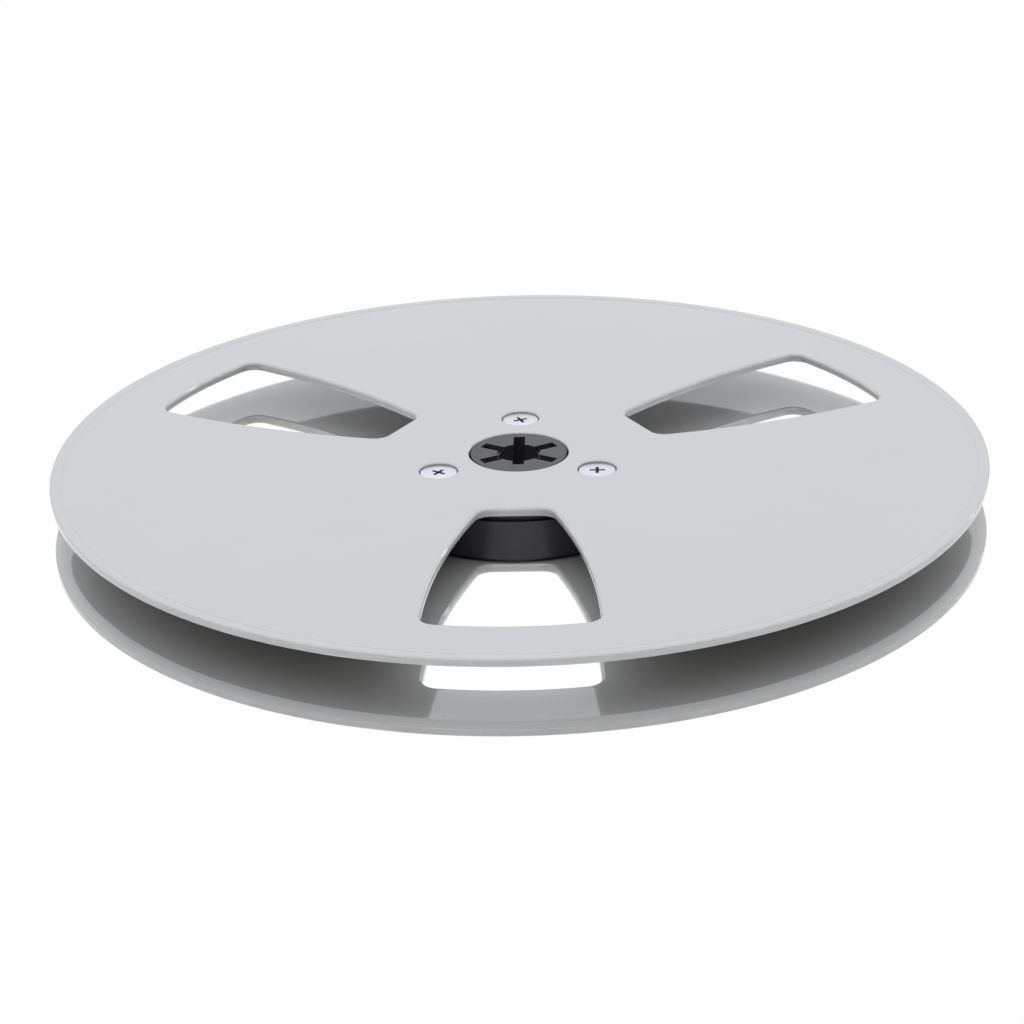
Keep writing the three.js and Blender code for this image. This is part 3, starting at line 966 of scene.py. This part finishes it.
# %% [markdown]
# ## Floor and light
# A product table is lit so evenly that its floor reads as pure white. A white floor under
# ordinary light still turns grey beneath the reel, so this one gives out plain white to
# the camera. For every other ray it is a pale, matt light table. Several lamps could do
# the lighting, but their small bright shapes would show in the glossy flanges. A soft sky
# that is bright above and behind leaves the gap between the flanges dark, and one broad
# lamp in front lifts the rims.

# %% The floor
FLOOR_RADIUS = 6.0


def floor_material():
    """Plain white to the camera; to the light it is matt and glows a little, like a light table."""
    material = bpy.data.materials.new("white_table")
    material.use_nodes = True
    tree = material.node_tree
    tree.nodes.clear()
    matt = node(tree, "ShaderNodeBsdfDiffuse", "matt", (0, 0), {"Color": (0.5, 0.5, 0.5, 1)})
    faint = node(tree, "ShaderNodeEmission", "faint glow", (0, 120),
                 {"Color": (1, 1, 0.98, 1), "Strength": 0.65})
    both = node(tree, "ShaderNodeAddShader", "both", (160, 60))
    glow = node(tree, "ShaderNodeEmission", "white", (0, -160), {"Color": (1, 1, 1, 1), "Strength": 1.0})
    rays = node(tree, "ShaderNodeLightPath", "rays", (0, 260))
    mix = node(tree, "ShaderNodeMixShader", "mix", (240, 0))
    result = node(tree, "ShaderNodeOutputMaterial", "surface", (460, 0))
    tree.links.new(rays.outputs["Is Camera Ray"], mix.inputs["Fac"])
    tree.links.new(matt.outputs["BSDF"], both.inputs[0])
    tree.links.new(faint.outputs["Emission"], both.inputs[1])
    tree.links.new(both.outputs["Shader"], mix.inputs[1])
    tree.links.new(glow.outputs["Emission"], mix.inputs[2])
    tree.links.new(mix.outputs["Shader"], result.inputs["Surface"])
    return material


floor_shape = bmesh.new()
floor_ring = [floor_shape.verts.new((x, y, 0)) for x, y in circle(FLOOR_RADIUS, 64)]
floor_shape.faces.new(floor_ring)
floor = as_object(floor_shape, "floor")
dress(floor, floor_material())
print(f"floor: {2 * FLOOR_RADIUS:.0f} m across")


# %% The sky
def set_sky(strength, low, high, lean):
    """A soft sky that brightens from one low side to its opposite high side."""
    world = bpy.data.worlds.new("studio_sky")
    bpy.context.scene.world = world
    world.use_nodes = True
    tree = world.node_tree
    tree.nodes.clear()
    spot = node(tree, "ShaderNodeTexCoord", "direction", (-700, 0))
    along = node(tree, "ShaderNodeVectorMath", "along", (-500, 0), operation="DOT_PRODUCT")
    tree.links.new(spot.outputs["Generated"], along.inputs[0])
    along.inputs[1].default_value = Vector(lean).normalized()
    rise = spread(tree, along.outputs["Value"], 0.06, 1.0, (-300, 0))
    glow = node(tree, "ShaderNodeBackground", "sky", (0, 0), {"Strength": strength})
    tree.links.new(blend_colour(tree, rise, low, high, (-140, 0)), glow.inputs["Color"])
    result = node(tree, "ShaderNodeOutputWorld", "world", (240, 0))
    tree.links.new(glow.outputs["Background"], result.inputs["Surface"])


set_sky(2.28, (0.0, 0.0, 0.0), (0.965, 0.98, 1.045), (0, 0.34, 0.94))


# %% The lamp
def soft_lamp(name, place_at, size, power):
    """A square lamp that faces the reel."""
    data = bpy.data.lights.new(name, "AREA")
    data.size = size
    data.energy = power
    lamp = bpy.data.objects.new(name, data)
    lamp.location = place_at
    aim = Vector((0, 0, MID_HEIGHT)) - Vector(place_at)
    lamp.rotation_euler = aim.to_track_quat("-Z", "Y").to_euler()
    bpy.context.scene.collection.objects.link(lamp)
    return lamp


lamp = soft_lamp("front_lamp", (-0.15, -1.0, 0.75), 0.8, 1.9)
print("sky and", lamp.name, "set")

# %% [markdown]
# ## Camera
# The camera stands in front of one window, about half a metre away and twenty-three
# degrees up. It leans a little to one side, as a hand-set camera does. A long lens from
# further off would flatten the reel, so the distance sets the perspective first, and the
# lens then frames it.

# %% The camera
CAMERA_OUT = 479.6 * MM
CAMERA_UP = 198.5 * MM
CAMERA_PITCH = math.radians(23.82)
CAMERA_YAW = math.radians(-0.19)
CAMERA_ROLL = math.radians(-1.58)
CAMERA_ROUND = math.radians(1.68)
CAMERA_LENS = 95.27


def camera_matrix():
    """The camera's place and turn, worked out from its pitch, yaw and roll."""
    ahead = Vector((
        math.sin(CAMERA_YAW) * math.cos(CAMERA_PITCH),
        math.cos(CAMERA_YAW) * math.cos(CAMERA_PITCH),
        -math.sin(CAMERA_PITCH),
    ))
    level = Vector((math.cos(CAMERA_YAW), -math.sin(CAMERA_YAW), 0))
    upright = level.cross(ahead)
    right = level * math.cos(CAMERA_ROLL) + upright * math.sin(CAMERA_ROLL)
    up = upright * math.cos(CAMERA_ROLL) - level * math.sin(CAMERA_ROLL)
    turn = Matrix((right, up, -ahead)).transposed().to_4x4()
    stand = Matrix.Translation((0, -CAMERA_OUT, REEL_HEIGHT + CAMERA_UP))
    return Matrix.Rotation(CAMERA_ROUND, 4, "Z") @ stand @ turn


camera_data = bpy.data.cameras.new("camera")
camera_data.lens = CAMERA_LENS
camera_data.clip_start = 0.01
camera = bpy.data.objects.new("camera", camera_data)
camera.matrix_world = camera_matrix()
bpy.context.scene.collection.objects.link(camera)
bpy.context.scene.camera = camera
bpy.context.scene.view_settings.view_transform = "Standard"
print("camera stands", round(camera.location.length, 3), "m from the reel's middle")
